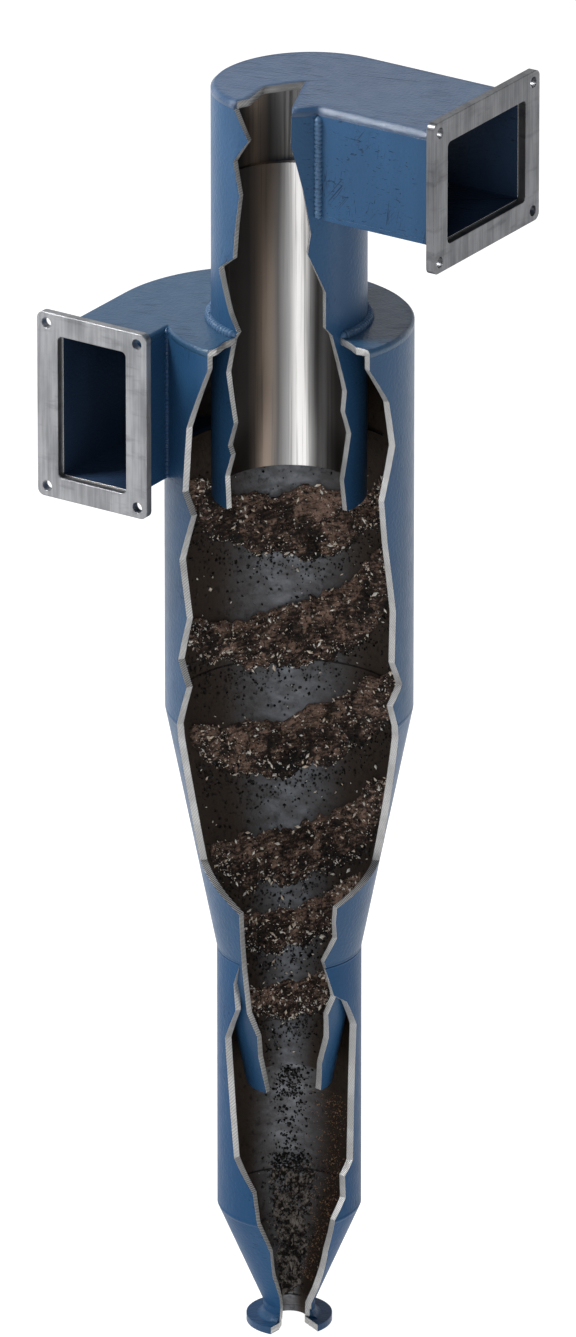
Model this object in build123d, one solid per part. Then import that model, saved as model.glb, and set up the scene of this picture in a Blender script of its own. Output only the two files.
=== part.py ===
from build123d import *
from math import cos, radians, sin, sqrt
import os

# Cyclone separator with a cutaway front, millimetres, +Z up.
# The origin is the centre of the foot flange's underside.
# The inlet duct points to -Y and the outlet duct to +X.
# Angles are degrees about the axis, counterclockwise from +X.

# Plates and walls
SHELL_WALL = 12.0
TUBE_WALL = 10.0
DUCT_WALL = 8.0
ROOF_PLATE = 12.0
BODY_RIM_BEVEL = 4.0
OUTLET_RIM_BEVEL = 6.5
OVERRUN = 20.0

# Foot flange
FOOT_RADIUS = 70.0
FOOT_PLATE = 12.0

# Dust hopper, a cylinder with a conical bottom and a discharge neck
NECK_RADIUS = 42.0
NECK_HEIGHT = 24.0
HOPPER_RADIUS = 117.0
HOPPER_CONE_HEIGHT = 177.0
HOPPER_WALL_HEIGHT = 454.0

# Main cone, with its tip hanging inside the hopper
CONE_HEIGHT = 421.0
TIP_DEPTH = 239.0

# Main cylinder
BODY_RADIUS = 200.0
BODY_HEIGHT = 657.0

# Scroll inlet, its side walls set in and out from the body's side
INLET_CLEAR_HEIGHT = 239.0
INLET_SET_IN = 63.0
INLET_SET_OUT = 80.0
INLET_REACH = 255.0
INLET_SCROLL_START = 70.0

# Vortex tube through the body roof
TUBE_RADIUS = 125.0
TUBE_RISE = 386.0
TUBE_DIP = 290.0

# Scroll outlet, its side walls set in and out from the tube's sides
OUTLET_CLEAR_HEIGHT = 168.0
OUTLET_SET_IN = 53.0
OUTLET_SET_OUT = 43.0
OUTLET_REACH = 342.0

# Rectangular flanges
FLANGE_PLATE = 14.0
FLANGE_CORNER = 12.0
OPENING_CORNER = 9.0
DUCT_LIP = 2.0
INLET_FLANGE_SIDE = 39.0
INLET_FLANGE_ENDS = 36.0
OUTLET_FLANGE_SIDE = 40.0
OUTLET_FLANGE_ENDS = 41.0
BOLT_HOLE = 18.0
BOLT_INSET = 18.0

# Weld beads
COLLAR_BEAD = 6.0
CORNER_BEAD = 6.0
FOOT_BEAD = 8.0

# Ridges of dust caked on the wall behind the cut
RIDGE_HEIGHT = 110.0
RIDGE_DEPTH = 34.0
RIDGE_SEAT = 0.3
RIDGE_SPANS = 8
RIDGE_END_SHARE = 0.03

# The cutaway faces this way. Round walls are divided at the other angles.
CUT_FACING = -57.0
SHELL_DIVISIONS = (70.0, 157.0)
TUBE_DIVISIONS = (60.0, 180.0)

# Broken edge of each shell: share of the way down, then degrees from the cut's facing
TUBE_LEFT_SHARES = (
    (0.00, -44.0), (0.07, -31.0), (0.13, -45.0), (0.21, -39.0), (0.29, -43.0), (0.37, -45.5),
    (0.41, -63.5), (0.51, -49.5), (0.55, -41.0), (0.57, -45.5), (0.66, -53.0), (0.78, -44.5),
    (0.84, -51.0), (0.86, -47.5), (0.92, -54.5), (1.00, -52.5),
)
TUBE_RIGHT_SHARES = (
    (0.00, 2.0), (0.07, 1.5), (0.18, 10.5), (0.29, 16.5), (0.34, 14.0), (0.44, 28.0), (0.53, 28.0),
    (0.55, 33.5), (0.70, 47.5), (0.75, 45.5), (0.81, 52.5), (0.92, 44.5), (1.00, 48.0),
)
BODY_LEFT_SHARES = (
    (0.00, -40.0), (0.05, -40.0), (0.22, -54.5), (0.39, -58.0), (0.44, -51.0), (0.57, -61.0),
    (0.71, -54.5), (0.83, -62.5), (0.89, -55.0), (1.00, -64.0),
)
BODY_RIGHT_SHARES = (
    (0.00, 40.0), (0.05, 40.0), (0.15, 53.0), (0.27, 58.0), (0.40, 49.5), (0.51, 52.0),
    (0.70, 59.0), (0.83, 58.0), (0.90, 65.5), (0.94, 56.5), (1.00, 61.0),
)
CONE_LEFT_SHARES = (
    (0.00, -64.0), (0.05, -66.5), (0.39, -74.0), (0.41, -68.0), (0.49, -36.0), (0.62, -40.0),
    (0.66, -41.0), (0.78, -43.5), (0.84, -34.5), (0.90, -36.5), (1.00, -31.5),
)
CONE_RIGHT_SHARES = (
    (0.00, 61.0), (0.04, 64.5), (0.40, 80.0), (0.42, 64.5), (0.47, 34.0), (0.51, 34.5),
    (0.56, 37.5), (0.62, 28.5), (0.71, 42.0), (0.73, 47.0), (0.78, 40.0), (0.85, 46.0),
    (0.92, 41.5), (1.00, 47.5),
)
HOPPER_LEFT_SHARES = (
    (0.00, -42.5), (0.06, -50.0), (0.13, -47.5), (0.22, -62.5), (0.31, -58.5), (0.53, -49.5), (0.61, -30.0),
    (0.69, -26.0), (0.78, -19.0), (0.86, -22.0), (0.93, -17.5), (0.96, -19.0), (1.00, -22.0),
)
HOPPER_RIGHT_SHARES = (
    (0.00, 30.0), (0.08, 38.5), (0.11, 53.0), (0.19, 69.0), (0.33, 65.5), (0.55, 62.5), (0.58, 51.0),
    (0.64, 52.0), (0.69, 39.5), (0.79, 45.0), (0.92, 61.5), (0.96, 60.0), (1.00, 58.0),
)

# The same edge across flat plates: share of the plate's radius, then degrees from the facing
ROOF_LEFT_SHARES = ((0.55, -42.0), (0.66, -42.0), (0.76, -42.0), (0.91, -39.0), (1.00, -40.0))
ROOF_RIGHT_SHARES = ((0.55, 41.0), (0.66, 41.0), (0.76, 40.0), (0.87, 38.0), (0.93, 40.0), (1.00, 40.0))
FOOT_LEFT_SHARES = ((0.40, -25.0), (0.70, -20.0), (1.00, -25.0))
FOOT_RIGHT_SHARES = ((0.40, 60.0), (0.75, 46.0), (1.00, 42.0))
# The hole broken through the outlet roof, as shares of the tube's radius: rightward, then forward
OUTLET_ROOF_CUT_SHARES = (
    (-0.70, 0.72), (-0.50, 0.60), (-0.32, 0.17), (0.01, 0.04), (0.20, -0.02), (0.04, 0.92), (0.035, 1.00),
)

# Each dust ridge sags at the back. Shares of the wall's height from the cone's tip: its lowest
# point and its rise over a right angle. Degrees from the facing: its start, lowest point and end.
# Last is its size as a share of the largest ridge.
RIDGE_SHARES = (
    (0.677, 0.166, 108.0, 180.0, 240.0, 0.90),
    (0.524, 0.176, 102.0, 195.0, 246.0, 1.00),
    (0.393, 0.119, 98.0, 195.0, 250.0, 0.92),
    (0.256, 0.087, 88.0, 200.0, 256.0, 0.80),
    (0.165, 0.106, 112.0, 195.0, 250.0, 0.56),
    (0.080, 0.054, 108.0, 195.0, 248.0, 0.50),
)
# Across a ridge: upward as a share of half its height, then off the wall as a share of its depth
RIDGE_SECTION_SHARES = ((-1.0, 0.0), (-0.6, 0.8), (0.5, 0.9), (1.0, 0.0))

# Reach of the cutting wedges, as shares of the shell's radius
WEDGE_INNER_SHARE = 0.2
WEDGE_OUTER_SHARE = 1.6

# Levels
hopper_base = FOOT_PLATE + NECK_HEIGHT
hopper_bend = hopper_base + HOPPER_CONE_HEIGHT
cone_base = hopper_bend + HOPPER_WALL_HEIGHT
tip_base = cone_base - TIP_DEPTH
body_base = cone_base + CONE_HEIGHT
body_top = body_base + BODY_HEIGHT
roof_top = body_top + ROOF_PLATE
inlet_floor_top = body_top - INLET_CLEAR_HEIGHT
tube_top = roof_top + TUBE_RISE
tube_base = body_top - TUBE_DIP
outlet_floor_top = tube_top - OUTLET_CLEAR_HEIGHT
neck_bore = NECK_RADIUS - SHELL_WALL
cone_slope = (BODY_RADIUS - HOPPER_RADIUS) / CONE_HEIGHT
tip_radius = HOPPER_RADIUS - TIP_DEPTH * cone_slope

# The inlet scroll touches the body circle where it starts and runs on into the duct's far wall
inlet_near_face = BODY_RADIUS - INLET_SET_IN
inlet_far_face = BODY_RADIUS + INLET_SET_OUT
scroll_cos = cos(radians(INLET_SCROLL_START))
scroll_sin = sin(radians(INLET_SCROLL_START))
inlet_scroll_radius = (inlet_far_face + BODY_RADIUS * scroll_cos) / (1 + scroll_cos)
inlet_scroll_x = (BODY_RADIUS - inlet_scroll_radius) * scroll_cos
inlet_scroll_y = (BODY_RADIUS - inlet_scroll_radius) * scroll_sin
inlet_back = INLET_REACH - FLANGE_PLATE
inlet_near_inner = inlet_near_face + DUCT_WALL

# The outlet scroll touches the tube circle on its far side from the duct
outlet_near_face = TUBE_RADIUS - OUTLET_SET_IN
outlet_far_face = TUBE_RADIUS + OUTLET_SET_OUT
outlet_scroll_x = OUTLET_SET_OUT
outlet_back = OUTLET_REACH - FLANGE_PLATE
outlet_near_inner = outlet_near_face - DUCT_WALL


def polar(radius, angle, z=0.0):
    """Point at a radius and angle from the axis."""
    return (radius * cos(radians(angle)), radius * sin(radians(angle)), z)


def sector(points, start, end):
    """Wall section of (radius, z) points turned about the axis between two angles."""
    wire = Wire.make_polygon([(radius, 0, z) for radius, z in points], close=True)
    return Rot(0, 0, start) * revolve(Face(wire), Axis.Z, end - start)


def shell_section(top_radius, bottom_radius, wall, bottom, top):
    """Section of a straight or tapering shell of constant horizontal wall."""
    return (
        (bottom_radius - wall, bottom),
        (bottom_radius, bottom),
        (top_radius, top),
        (top_radius - wall, top),
    )


def side_wedge(rows, radius, top, bottom):
    """Radial wedge from the cut's facing to one broken edge, for a shell between two levels."""
    rows = ((0.0, rows[0][1], top + OVERRUN),) + tuple(
        (share, angle, top - share * (top - bottom)) for share, angle in rows
    ) + ((1.0, rows[-1][1], bottom - OVERRUN),)
    inner = WEDGE_INNER_SHARE * radius
    outer = WEDGE_OUTER_SHARE * radius
    levels = []
    for share, angle, z in rows:
        corners = (
            polar(inner, CUT_FACING + angle, z),
            polar(outer, CUT_FACING + angle, z),
            polar(outer, CUT_FACING, z),
            polar(inner, CUT_FACING, z),
        )
        levels.append(Face(Wire.make_polygon(corners, close=True)))
    return loft(levels, ruled=True)


def prism(corners, bottom, top):
    """Upright prism over an outline of (x, y) corners."""
    outline = Wire.make_polygon([(corner[0], corner[1], bottom) for corner in corners], close=True)
    return extrude(Face(outline), top - bottom, dir=(0, 0, 1))


def plate_cut(left_rows, right_rows, radius, bottom, top):
    """Prism between the two broken edges of a round plate."""
    left = [polar(share * radius, CUT_FACING + angle) for share, angle in left_rows]
    right = [polar(share * radius, CUT_FACING + angle) for share, angle in right_rows]
    beyond = (
        polar(WEDGE_OUTER_SHARE * radius, CUT_FACING + left_rows[-1][1]),
        polar(WEDGE_OUTER_SHARE * radius, CUT_FACING + right_rows[-1][1]),
    )
    start = polar(WEDGE_INNER_SHARE * radius, CUT_FACING)
    return prism([start, *left, *beyond, *reversed(right)], bottom, top)


def roof_hole(bottom, top):
    """Prism through the outlet roof along its broken edge, open to the front."""
    first, last = OUTLET_ROOF_CUT_SHARES[0], OUTLET_ROOF_CUT_SHARES[-1]
    beyond = [(WEDGE_OUTER_SHARE * right, WEDGE_OUTER_SHARE * forward) for right, forward in (last, first)]
    corners = []
    for right, forward in (*OUTLET_ROOF_CUT_SHARES, *beyond):
        across = polar(right * TUBE_RADIUS, CUT_FACING + 90)
        ahead = polar(forward * TUBE_RADIUS, CUT_FACING)
        corners.append((across[0] + ahead[0], across[1] + ahead[1]))
    return prism(corners, bottom, top)


def block(x_range, y_range, z_range):
    """Box between named limits."""
    size = [high - low for low, high in (x_range, y_range, z_range)]
    place = [(high + low) / 2 for low, high in (x_range, y_range, z_range)]
    return Pos(*place) * Box(*size)


def column(radius, bottom, top, x=0.0, y=0.0):
    """Upright cylinder between two levels."""
    return Pos(x, y, (bottom + top) / 2) * Cylinder(radius, top - bottom)


def curved_wall(radius, x, y, start, end, bottom, top):
    """Duct plate bent to an outer radius about an upright centre line."""
    section = shell_section(radius, radius, DUCT_WALL, bottom, top)
    return Pos(x, y, 0) * sector(section, start, end)


def bevel(plate, size, level, end_axis, end_place):
    """Chamfer a plate's upper outer edge, but not where it meets its flange."""
    def along(edge):
        centre = edge.center()
        return centre.X if end_axis == "x" else centre.Y

    edges = [
        edge
        for edge in plate.edges()
        if abs(edge.center().Z - level) < size / 10 and abs(along(edge) - end_place) > size / 10
    ]
    return chamfer(edges, size)


def flange(width, height, opening_width, opening_height):
    """Rectangular duct flange in the XY plane, with a hole near each corner."""
    plate = RectangleRounded(width, height, FLANGE_CORNER)
    plate -= RectangleRounded(opening_width, opening_height, OPENING_CORNER)
    plate -= GridLocations(width - 2 * BOLT_INSET, height - 2 * BOLT_INSET, 2, 2) * Circle(BOLT_HOLE / 2)
    return extrude(plate, FLANGE_PLATE)


def foot_cut():
    """Wedge broken out of the foot flange."""
    return plate_cut(FOOT_LEFT_SHARES, FOOT_RIGHT_SHARES, FOOT_RADIUS, -OVERRUN, FOOT_PLATE + OVERRUN)


def roof_cut():
    """Wedge broken out of the body roof."""
    return plate_cut(ROOF_LEFT_SHARES, ROOF_RIGHT_SHARES, BODY_RADIUS, body_top - OVERRUN, roof_top + OVERRUN)


def make_foot():
    """Plain round foot flange under the discharge neck."""
    plate = column(FOOT_RADIUS, 0, FOOT_PLATE) - column(neck_bore, -OVERRUN, FOOT_PLATE + OVERRUN)
    return {"foot_flange": plate - foot_cut()}


def ring_bead(radius, level, size):
    """Fillet weld in the corner between an upright tube and a plate below it."""
    return sector(((radius, level), (radius + size, level), (radius, level + size)), 0, 360)


def corner_bead(x, y, bottom, top, body, duct):
    """Upright weld in the corner between a duct's side and the round wall it leaves."""
    return column(CORNER_BEAD, bottom, top, x, y) - body - duct


def make_welds():
    """Beads under the neck, round the tube and up the corners of both ducts."""
    foot = ring_bead(NECK_RADIUS, FOOT_PLATE, FOOT_BEAD) - foot_cut()
    collar = ring_bead(TUBE_RADIUS, roof_top, COLLAR_BEAD) - roof_cut()
    inlet_bottom = inlet_floor_top - DUCT_WALL
    inlet = corner_bead(
        -inlet_near_face,
        -sqrt(BODY_RADIUS**2 - inlet_near_face**2),
        inlet_bottom,
        body_top,
        column(BODY_RADIUS, inlet_bottom, body_top),
        block((-inlet_far_face, -inlet_near_face), (-INLET_REACH, 0), (inlet_bottom, body_top)),
    )
    outlet_bottom = outlet_floor_top - DUCT_WALL
    outlet = corner_bead(
        sqrt(TUBE_RADIUS**2 - outlet_near_face**2),
        -outlet_near_face,
        outlet_bottom,
        tube_top,
        column(TUBE_RADIUS, outlet_bottom, tube_top),
        block((0, OUTLET_REACH), (-outlet_near_face, outlet_far_face), (outlet_bottom, tube_top)),
    )
    return {"weld_beads": Compound([*foot.solids(), *collar.solids(), *inlet.solids(), *outlet.solids()])}


def round_wall(name, section, left_rows, right_rows, radius, top, bottom, divisions):
    """Open-fronted round wall in three plates, with both broken edges."""
    first, second = divisions
    left = side_wedge(left_rows, radius, top, bottom)
    right = side_wedge(right_rows, radius, top, bottom)
    return {
        f"{name}_left": sector(section, second, CUT_FACING + 360) - left,
        f"{name}_back": sector(section, first, second),
        f"{name}_right": sector(section, CUT_FACING, first) - right,
    }


def make_lower_shells():
    """Dust hopper, and the main cone with its hanging tip."""
    # The hopper's upper edge is bevelled to lie on the cone
    hopper = (
        (neck_bore, FOOT_PLATE),
        (NECK_RADIUS, FOOT_PLATE),
        (NECK_RADIUS, hopper_base),
        (HOPPER_RADIUS, hopper_bend),
        (HOPPER_RADIUS, cone_base),
        (HOPPER_RADIUS - SHELL_WALL, cone_base - SHELL_WALL / cone_slope),
        (HOPPER_RADIUS - SHELL_WALL, hopper_bend),
        (neck_bore, hopper_base),
    )
    cone = shell_section(BODY_RADIUS, tip_radius, SHELL_WALL, tip_base, body_base)
    return {
        **round_wall(
            "dust_hopper", hopper, HOPPER_LEFT_SHARES, HOPPER_RIGHT_SHARES,
            HOPPER_RADIUS, cone_base, FOOT_PLATE, SHELL_DIVISIONS,
        ),
        **round_wall(
            "main_cone", cone, CONE_LEFT_SHARES, CONE_RIGHT_SHARES,
            BODY_RADIUS, body_base, tip_base, SHELL_DIVISIONS,
        ),
    }


def make_body():
    """Main cylinder, open to the inlet scroll above the duct's floor."""
    first, second = SHELL_DIVISIONS
    left = side_wedge(BODY_LEFT_SHARES, BODY_RADIUS, roof_top, body_base)
    right = side_wedge(BODY_RIGHT_SHARES, BODY_RADIUS, roof_top, body_base)
    low = shell_section(BODY_RADIUS, BODY_RADIUS, SHELL_WALL, body_base, inlet_floor_top)
    high = shell_section(BODY_RADIUS, BODY_RADIUS, SHELL_WALL, inlet_floor_top, body_top)
    full = shell_section(BODY_RADIUS, BODY_RADIUS, SHELL_WALL, body_base, body_top)
    strip = sector(high, second, CUT_FACING + 360) - left
    strip -= block(
        (-BODY_RADIUS - OVERRUN, -inlet_near_inner),
        (-BODY_RADIUS, BODY_RADIUS),
        (inlet_floor_top - OVERRUN, body_top + OVERRUN),
    )
    return {
        "body_shell_left": sector(low, second, CUT_FACING + 360) - left,
        "body_shell_back": sector(low, first, second),
        "body_shell_right": sector(full, CUT_FACING, first) - right,
        "body_shell_strip": strip,
    }


def wall_radius(level):
    """Inside radius of the main cylinder, or of the cone below it."""
    return BODY_RADIUS - SHELL_WALL - max(body_base - level, 0) * cone_slope


def ridge_section(level, angle, swell):
    """Corners of a dust ridge's section at one angle from the facing, seated on the wall."""
    corners = []
    for up, off in RIDGE_SECTION_SHARES:
        z = level + up * swell * RIDGE_HEIGHT / 2
        radius = wall_radius(z) - RIDGE_SEAT - off * swell * RIDGE_DEPTH
        corners.append(Vector(*polar(radius, CUT_FACING + angle, z)))
    return corners


def faceted(rings):
    """Solid of flat facets through rings of corners, closed by the first and last ring."""
    faces = [Face(Wire.make_polygon(ring, close=True)) for ring in (rings[0], rings[-1])]
    for near, far in zip(rings, rings[1:]):
        for corner in range(len(near)):
            before = corner - 1
            for triangle in (
                (near[before], near[corner], far[corner]),
                (near[before], far[corner], far[before]),
            ):
                faces.append(Face(Wire.make_polygon(triangle, close=True)))
    return Solid(Shell(faces))


def dust_ridge(low_share, rise_share, start, lowest, end, size_share):
    """Ridge of dust along the wall, tapered at both ends."""
    wall_height = body_top - tip_base
    rings = []
    for place in range(RIDGE_SPANS + 1):
        along = place / RIDGE_SPANS
        angle = start + (end - start) * along
        rise = rise_share * ((angle - lowest) / 90) ** 2
        level = tip_base + wall_height * (low_share + rise)
        inset = (along + RIDGE_END_SHARE) / (1 + 2 * RIDGE_END_SHARE)
        rings.append(ridge_section(level, angle, size_share * sqrt(sin(radians(180 * inset)))))
    return faceted(rings)


def make_dust():
    """Dust left on the walls by the turning gas."""
    return {"caked_dust": Compound([dust_ridge(*row) for row in RIDGE_SHARES])}


def inlet_plan(bottom, top):
    """Solid under the whole outline of the inlet scroll and duct, outside faces."""
    scroll = column(inlet_scroll_radius, bottom, top, inlet_scroll_x, inlet_scroll_y)
    start = polar(2 * inlet_scroll_radius, INLET_SCROLL_START)
    quarter = prism(
        (
            (inlet_scroll_x, inlet_scroll_y),
            (inlet_scroll_x + start[0], inlet_scroll_y + start[1]),
            (inlet_scroll_x - start[1], inlet_scroll_y + start[1]),
            (inlet_scroll_x - start[1], inlet_scroll_y),
        ),
        bottom,
        top,
    )
    duct = block((-inlet_far_face, -inlet_near_face), (-inlet_back, inlet_scroll_y), (bottom, top))
    return (scroll & quarter) + duct


def make_inlet():
    """Scroll inlet: floor, walls and flange."""
    floor_bottom = inlet_floor_top - DUCT_WALL
    body = column(BODY_RADIUS, floor_bottom - OVERRUN, body_top + OVERRUN)
    near = block(
        (-inlet_near_inner, -inlet_near_face),
        (-inlet_back, 0),
        (inlet_floor_top, body_top),
    )
    far = block(
        (-inlet_far_face, -inlet_far_face + DUCT_WALL),
        (-inlet_back, inlet_scroll_y),
        (inlet_floor_top, body_top),
    )
    scroll = curved_wall(
        inlet_scroll_radius, inlet_scroll_x, inlet_scroll_y,
        INLET_SCROLL_START, 180, inlet_floor_top, body_top,
    )
    clear_width = inlet_far_face - inlet_near_face - 2 * DUCT_WALL
    plate = flange(
        clear_width + 2 * (DUCT_LIP + INLET_FLANGE_SIDE),
        INLET_CLEAR_HEIGHT + 2 * (DUCT_LIP + INLET_FLANGE_ENDS),
        clear_width + 2 * DUCT_LIP,
        INLET_CLEAR_HEIGHT + 2 * DUCT_LIP,
    )
    place = Pos(
        -(inlet_far_face + inlet_near_face) / 2, -inlet_back, inlet_floor_top + INLET_CLEAR_HEIGHT / 2
    )
    return {
        "inlet_floor": inlet_plan(floor_bottom, inlet_floor_top) - body,
        "inlet_near_wall": near - body,
        "inlet_far_wall": far,
        "inlet_scroll_wall": scroll,
        "inlet_flange": place * Rot(90, 0, 0) * plate,
    }


def make_body_roof():
    """Plate over the body and the inlet scroll, with a hole for the tube."""
    plate = inlet_plan(body_top, roof_top) + column(BODY_RADIUS, body_top, roof_top)
    plate = bevel(plate, BODY_RIM_BEVEL, roof_top, "y", -inlet_back)
    plate -= column(TUBE_RADIUS, body_top - OVERRUN, roof_top + OVERRUN)
    return {"body_roof": plate - roof_cut()}


def make_tube():
    """Vortex tube, open to the outlet scroll above the duct's floor."""
    first, second = TUBE_DIVISIONS
    left = side_wedge(TUBE_LEFT_SHARES, TUBE_RADIUS, tube_top, tube_base)
    right = side_wedge(TUBE_RIGHT_SHARES, TUBE_RADIUS, tube_top, tube_base)
    low = shell_section(TUBE_RADIUS, TUBE_RADIUS, TUBE_WALL, tube_base, outlet_floor_top)
    high = shell_section(TUBE_RADIUS, TUBE_RADIUS, TUBE_WALL, outlet_floor_top, tube_top)
    full = shell_section(TUBE_RADIUS, TUBE_RADIUS, TUBE_WALL, tube_base, tube_top)
    strip = sector(high, CUT_FACING, first) - right
    strip -= block(
        (-TUBE_RADIUS, TUBE_RADIUS + OVERRUN),
        (-outlet_near_inner, TUBE_RADIUS + OVERRUN),
        (outlet_floor_top - OVERRUN, tube_top + OVERRUN),
    )
    return {
        "vortex_tube_left": sector(full, second, CUT_FACING + 360) - left,
        "vortex_tube_back": sector(low, first, second),
        "vortex_tube_right": sector(low, CUT_FACING, first) - right,
        "vortex_tube_strip": strip,
    }


def outlet_plan(bottom, top):
    """Solid under the whole outline of the outlet scroll and duct, outside faces."""
    scroll = column(outlet_far_face, bottom, top, outlet_scroll_x, 0)
    quarter = block((-TUBE_RADIUS, outlet_scroll_x), (0, outlet_far_face), (bottom, top))
    duct = block((outlet_scroll_x, outlet_back), (-outlet_near_face, outlet_far_face), (bottom, top))
    return (scroll & quarter) + duct


def make_outlet():
    """Scroll outlet: floor, walls, roof and flange."""
    floor_bottom = outlet_floor_top - DUCT_WALL
    roof_level = tube_top + ROOF_PLATE
    tube = column(TUBE_RADIUS, floor_bottom - OVERRUN, roof_level + OVERRUN)
    near = block(
        (0, outlet_back),
        (-outlet_near_face, -outlet_near_inner),
        (outlet_floor_top, tube_top),
    )
    far = block(
        (outlet_scroll_x, outlet_back),
        (outlet_far_face - DUCT_WALL, outlet_far_face),
        (outlet_floor_top, tube_top),
    )
    scroll = curved_wall(
        outlet_far_face, outlet_scroll_x, 0, 90, 180, outlet_floor_top, tube_top
    )
    clear_width = outlet_far_face + outlet_near_inner - DUCT_WALL
    plate = flange(
        clear_width + 2 * (DUCT_LIP + OUTLET_FLANGE_SIDE),
        OUTLET_CLEAR_HEIGHT + 2 * (DUCT_LIP + OUTLET_FLANGE_ENDS),
        clear_width + 2 * DUCT_LIP,
        OUTLET_CLEAR_HEIGHT + 2 * DUCT_LIP,
    )
    place = Pos(
        outlet_back, (outlet_far_face - outlet_near_face) / 2, outlet_floor_top + OUTLET_CLEAR_HEIGHT / 2
    )
    roof = outlet_plan(tube_top, roof_level) + column(TUBE_RADIUS, tube_top, roof_level)
    roof = bevel(roof, OUTLET_RIM_BEVEL, roof_level, "x", outlet_back)
    return {
        "outlet_floor": outlet_plan(floor_bottom, outlet_floor_top) - tube,
        "outlet_near_wall": near - tube,
        "outlet_far_wall": far,
        "outlet_scroll_wall": scroll,
        "outlet_roof": roof - roof_hole(tube_top - OVERRUN, roof_level + OVERRUN),
        "outlet_flange": place * Rot(0, 0, 90) * Rot(90, 0, 0) * plate,
    }


pieces = {
    **make_foot(),
    **make_lower_shells(),
    **make_body(),
    **make_inlet(),
    **make_body_roof(),
    **make_tube(),
    **make_outlet(),
    **make_welds(),
    **make_dust(),
}

os.makedirs("parts", exist_ok=True)
for name, shape in pieces.items():
    export_step(shape, f"parts/{name}.step")
    print(name, round(shape.volume), len(shape.solids()))
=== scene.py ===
import logging
import math
from dataclasses import dataclass
from enum import Enum
from typing import Any, Callable, Sequence

import bpy
import numpy as np
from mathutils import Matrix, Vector


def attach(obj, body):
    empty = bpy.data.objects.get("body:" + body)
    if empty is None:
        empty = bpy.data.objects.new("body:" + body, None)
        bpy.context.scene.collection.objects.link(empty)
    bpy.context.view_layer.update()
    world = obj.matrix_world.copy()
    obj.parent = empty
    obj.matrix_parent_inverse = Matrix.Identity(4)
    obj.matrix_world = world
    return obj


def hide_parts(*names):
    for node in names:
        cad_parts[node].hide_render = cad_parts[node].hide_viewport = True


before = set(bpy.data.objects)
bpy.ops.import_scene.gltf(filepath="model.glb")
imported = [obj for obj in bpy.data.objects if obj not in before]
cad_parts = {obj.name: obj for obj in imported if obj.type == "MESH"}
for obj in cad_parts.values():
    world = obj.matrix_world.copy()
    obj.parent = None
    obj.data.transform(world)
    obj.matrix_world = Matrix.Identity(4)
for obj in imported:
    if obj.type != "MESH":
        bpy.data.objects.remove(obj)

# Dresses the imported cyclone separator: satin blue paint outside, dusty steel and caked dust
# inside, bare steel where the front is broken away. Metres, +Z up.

log = logging.getLogger("cyclone")
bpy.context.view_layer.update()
Path = Callable[[np.ndarray], np.ndarray]
MM = 0.001
# The cutaway faces this way, from +X
FACING = math.radians(-57.0)
# Levels where the walls meet, and the radii of their insides, in metres
BODY_FOOT, CONE_FOOT, BIN_FOOT, NECK_TOP = 1.088, 0.667, 0.213, 0.036
BODY_INSIDE, BIN_INSIDE, NECK_INSIDE = 0.188, 0.105, 0.030


class Side(Enum):
    """How a CAD node's faces are told apart by the finish they carry."""

    ROUND_WALL = "painted outside, another finish inside, bare steel where it is broken"
    BODY_ROOF = "painted above, dark below, bare steel where it is broken near the facing"
    FOOT = "painted, dark in the bore, bare steel where it is broken near the facing"
    OUTLET_ROOF = "painted above, dark below, bare steel inside the tube's circle"
    # Painted shade: ducts take a darker copy of the paint inside and on their floors' tops
    INLET_DUCT = "painted outside, darker inside, bare steel on the end in the flange"
    OUTLET_DUCT = "the same about the outlet's centre line"
    INLET_FLOOR = "darker above, painted below and round the rim, bare steel on the end in the flange"
    OUTLET_FLOOR = "the same for the outlet"
    PLAIN = "one finish all over"


def linear(code: str) -> tuple[float, float, float, float]:
    """Turn an sRGB hex colour into linear RGBA.

    Args:
        code: six hex digits after a hash.

    Returns:
        The linear colour, opaque.
    """
    parts = [int(code[i : i + 2], 16) / 255 for i in (1, 3, 5)]
    red, green, blue = [p / 12.92 if p <= 0.04045 else ((p + 0.055) / 1.055) ** 2.4 for p in parts]
    return red, green, blue, 1.0


def add(tree: Any, kind: str, settings: dict | None = None, feeds: dict | None = None, out: Any = 0) -> Any:
    """Add one shader node with its settings and links.

    Args:
        tree: the node tree.
        kind: the node's type name.
        settings: properties to set; "stops" holds a ramp's (place, colour) pairs.
        feeds: input name or index, and the socket or value that feeds it.
        out: the output wanted.

    Returns:
        The wanted output socket, or the node if it has none.
    """
    node = tree.nodes.new(kind)
    for name, value in (settings or {}).items():
        if name == "stops":
            ramp = node.color_ramp.elements
            while len(ramp) < len(value):
                ramp.new(0.5)
            for stop, (place, colour) in zip(ramp, value):
                stop.position, stop.color = place, colour
        else:
            setattr(node, name, value)
    for name, value in (feeds or {}).items():
        if isinstance(value, bpy.types.NodeSocket):
            tree.links.new(value, node.inputs[name])
        else:
            node.inputs[name].default_value = value
    return node.outputs[out] if len(node.outputs) else node


def math_node(tree: Any, operation: str, *values: Any, clamp: bool = False) -> Any:
    """Add one math node.

    Args:
        tree: the node tree.
        operation: what it does.
        values: the sockets or numbers that it takes, in order.
        clamp: whether the result stays between 0 and 1.

    Returns:
        The result.
    """
    settings = {"operation": operation, "use_clamp": clamp}
    return add(tree, "ShaderNodeMath", settings, dict(enumerate(values)))


def vector_node(tree: Any, operation: str, first: Any, second: Any = None) -> Any:
    """Add one vector math node.

    Args:
        tree: the node tree.
        operation: what it does.
        first: the first vector.
        second: the second vector, or the number to scale by.

    Returns:
        The result, which is a number for a dot product or a length.
    """
    feeds = {0: first}
    if second is not None:
        feeds["Scale" if operation == "SCALE" else 1] = second
    out = "Value" if operation in ("DOT_PRODUCT", "LENGTH") else 0
    return add(tree, "ShaderNodeVectorMath", {"operation": operation}, feeds, out)


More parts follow.
